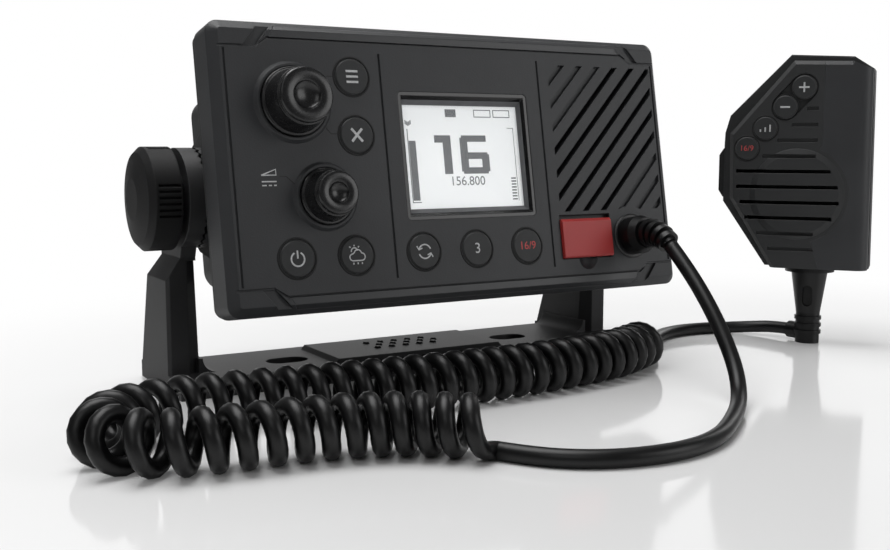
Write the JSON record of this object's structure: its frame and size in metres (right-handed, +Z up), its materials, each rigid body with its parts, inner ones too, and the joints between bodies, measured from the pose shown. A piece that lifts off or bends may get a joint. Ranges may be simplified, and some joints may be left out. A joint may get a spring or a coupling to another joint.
{
  "type": "vhf marine radio",
  "caption": "Fixed marine VHF radio on a tilting gimbal bracket, with a curly cord and a fist microphone.",
  "frame": {"origin": "midway between the bracket's two mounting slots, on the underside of its base", "axes": "+X to the right of someone facing the radio, +Y away from them, +Z up"},
  "size_m": [0.3337, 0.1967, 0.122],
  "materials": {
    "case_moulding": "fine matte texture",
    "trim_moulding": "satin",
    "black_moulding": "satin",
    "knob_black": "polished",
    "key_rubber": "matte",
    "red_plastic": "satin",
    "seal_rubber": "matte",
    "cord_pvc": "glossy",
    "steel": "plain",
    "can_steel": "plain",
    "brass": "plain",
    "plated_metal": "bright",
    "lens_clear": "clear",
    "lcd_glass": "lit panel",
    "board_green": "solder mask",
    "cone_paper": "pressed paper",
    "cloth_black": "woven",
    "white_plastic": "plain"
  },
  "bodies": {
    "bracket": {"bracket": "case_moulding", "cord_coil": "cord_pvc", "cord_lead_a": "cord_pvc", "cord_lead_b": "cord_pvc"},
    "left_clamp_washer": {"left_knob_washer": "steel"},
    "left_clamp_knob": {"left_knob": "black_moulding", "left_knob_stud": "steel"},
    "right_clamp_washer": {"right_knob_washer": "steel"},
    "right_clamp_knob": {"right_knob": "black_moulding", "right_knob_stud": "steel"},
    "head": {"front_bezel": "case_moulding", "top_trim_strip": "trim_moulding", "bottom_trim_strip": "trim_moulding", "bezel_seal": "seal_rubber", "rear_case": "case_moulding", "case_screws": "steel", "thread_inserts": "brass", "window_frame": "black_moulding", "window_lens": "lens_clear", "display_panel": "lcd_glass", "key_mat": "key_rubber", "front_board": "board_green", "main_board": "board_green", "encoder_cans": "can_steel", "speaker_frame": "can_steel", "speaker_cone": "cone_paper", "speaker_cloth": "cloth_black", "antenna_socket": "plated_metal", "network_socket": "plated_metal", "power_gland": "black_moulding", "mic_socket": "black_moulding", "mic_plug": "cord_pvc", "distress_hinge_pin": "steel"},
    "channel_push": {"channel_plunger": "white_plastic"},
    "channel_dial": {"channel_knob": "knob_black", "channel_shaft": "steel"},
    "volume_push": {"volume_plunger": "white_plastic"},
    "volume_dial": {"volume_knob": "knob_black", "volume_shaft": "steel"},
    "distress_flap": {"distress_cover": "red_plastic"},
    "distress_button": {"distress_key": "red_plastic"},
    "handset": {"mic_front_shell": "case_moulding", "mic_rear_shell": "case_moulding", "mic_side_panel": "trim_moulding", "mic_speaker": "can_steel", "mic_hang_button": "steel", "mic_screws": "steel", "mic_boot": "cord_pvc"},
    "talk_bar": {"mic_talk_bar": "key_rubber"},
    "menu_key_cap": {"menu_key": "key_rubber"},
    "cancel_key_cap": {"cancel_key": "key_rubber"},
    "power_key_cap": {"power_key": "key_rubber"},
    "weather_key_cap": {"weather_key": "key_rubber"},
    "scan_key_cap": {"scan_key": "key_rubber"},
    "channel_3_key_cap": {"channel_3_key": "key_rubber"},
    "channel_16_key_cap": {"channel_16_key": "key_rubber"},
    "mic_up_key_cap": {"mic_up_key": "key_rubber"},
    "mic_down_key_cap": {"mic_down_key": "key_rubber"},
    "mic_power_key_cap": {"mic_power_key": "key_rubber"},
    "mic_channel_key_cap": {"mic_channel_key": "key_rubber"}
  },
  "joints": [
    {"name": "head_tilt", "type": "hinge", "parent": "bracket", "child": "head", "pos_m": [0, -0.0024, 0.066], "axis": [1, 0, 0], "range_deg": [-35, 20], "deforming": ["cord_lead_a"]},
    {"name": "handset_lift", "type": "slide", "parent": "bracket", "child": "handset", "axis": [0, 0, 1], "range_m": [0, 0.06], "deforming": ["cord_lead_b"]},
    {"name": "left_knob_travel", "type": "slide", "parent": "bracket", "child": "left_clamp_washer", "axis": [-1, 0, 0], "range_m": [0, 0.00202]},
    {"name": "left_knob_turn", "type": "hinge", "parent": "left_clamp_washer", "child": "left_clamp_knob", "pos_m": [-0.0957, -0.0024, 0.066], "axis": [-1, 0, 0], "range_deg": [0, 720]},
    {"name": "right_knob_travel", "type": "slide", "parent": "bracket", "child": "right_clamp_washer", "axis": [1, 0, 0], "range_m": [0, 0.00202]},
    {"name": "right_knob_turn", "type": "hinge", "parent": "right_clamp_washer", "child": "right_clamp_knob", "pos_m": [0.0957, -0.0024, 0.066], "axis": [1, 0, 0], "range_deg": [0, 720]},
    {"name": "channel_knob_push", "type": "slide", "parent": "head", "child": "channel_push", "axis": [0, 0.9842, -0.1771], "range_m": [0, 0.0007], "stiffness_N_per_m": 3000},
    {"name": "channel_knob_turn", "type": "hinge", "parent": "channel_push", "child": "channel_dial", "pos_m": [-0.0629, -0.04998, 0.09803], "axis": [0, 0.9842, -0.1771], "continuous": true},
    {"name": "volume_knob_push", "type": "slide", "parent": "head", "child": "volume_push", "axis": [0, 0.9842, -0.1771], "range_m": [0, 0.0007], "stiffness_N_per_m": 3000},
    {"name": "volume_knob_turn", "type": "hinge", "parent": "volume_push", "child": "volume_dial", "pos_m": [-0.0545, -0.05527, 0.0686], "axis": [0, 0.9842, -0.1771], "continuous": true},
    {"name": "distress_flap_lift", "type": "hinge", "parent": "head", "child": "distress_flap", "pos_m": [0.04665, -0.05157, 0.05646], "axis": [-1, 0, 0], "range_deg": [0, 100], "stiffness_Nm_per_rad": 0.002, "springref_deg": -17.19},
    {"name": "distress_key_push", "type": "slide", "parent": "head", "child": "distress_button", "axis": [0, 0.9842, -0.1771], "range_m": [0, 0.0008], "stiffness_N_per_m": 1500},
    {"name": "menu_key_push", "type": "slide", "parent": "head", "child": "menu_key_cap", "axis": [0, 0.9842, -0.1771], "range_m": [0, 0.0008], "stiffness_N_per_m": 1500},
    {"name": "cancel_key_push", "type": "slide", "parent": "head", "child": "cancel_key_cap", "axis": [0, 0.9842, -0.1771], "range_m": [0, 0.0008], "stiffness_N_per_m": 1500},
    {"name": "power_key_push", "type": "slide", "parent": "head", "child": "power_key_cap", "axis": [0, 0.9842, -0.1771], "range_m": [0, 0.0008], "stiffness_N_per_m": 1500},
    {"name": "weather_key_push", "type": "slide", "parent": "head", "child": "weather_key_cap", "axis": [0, 0.9842, -0.1771], "range_m": [0, 0.0008], "stiffness_N_per_m": 1500},
    {"name": "scan_key_push", "type": "slide", "parent": "head", "child": "scan_key_cap", "axis": [0, 0.9842, -0.1771], "range_m": [0, 0.0008], "stiffness_N_per_m": 1500},
    {"name": "channel_3_key_push", "type": "slide", "parent": "head", "child": "channel_3_key_cap", "axis": [0, 0.9842, -0.1771], "range_m": [0, 0.0008], "stiffness_N_per_m": 1500},
    {"name": "channel_16_key_push", "type": "slide", "parent": "head", "child": "channel_16_key_cap", "axis": [0, 0.9842, -0.1771], "range_m": [0, 0.0008], "stiffness_N_per_m": 1500},
    {"name": "mic_up_key_push", "type": "slide", "parent": "handset", "child": "mic_up_key_cap", "axis": [0.809, 0.5878, 0], "range_m": [0, 0.0008], "stiffness_N_per_m": 1500},
    {"name": "mic_down_key_push", "type": "slide", "parent": "handset", "child": "mic_down_key_cap", "axis": [0.809, 0.5878, 0], "range_m": [0, 0.0008], "stiffness_N_per_m": 1500},
    {"name": "mic_power_key_push", "type": "slide", "parent": "handset", "child": "mic_power_key_cap", "axis": [0.809, 0.5878, 0], "range_m": [0, 0.0008], "stiffness_N_per_m": 1500},
    {"name": "mic_channel_key_push", "type": "slide", "parent": "handset", "child": "mic_channel_key_cap", "axis": [0.809, 0.5878, 0], "range_m": [0, 0.0008], "stiffness_N_per_m": 1500},
    {"name": "talk_bar_press", "type": "slide", "parent": "handset", "child": "talk_bar", "axis": [0.5878, -0.809, 0], "range_m": [0, 0.002], "stiffness_N_per_m": 1500}
  ],
  "couplings": [
    {"joint": "left_knob_travel", "follows": "left_knob_turn", "m_per_rad": 0.00015915},
    {"joint": "right_knob_travel", "follows": "right_knob_turn", "m_per_rad": 0.00015915}
  ]
}
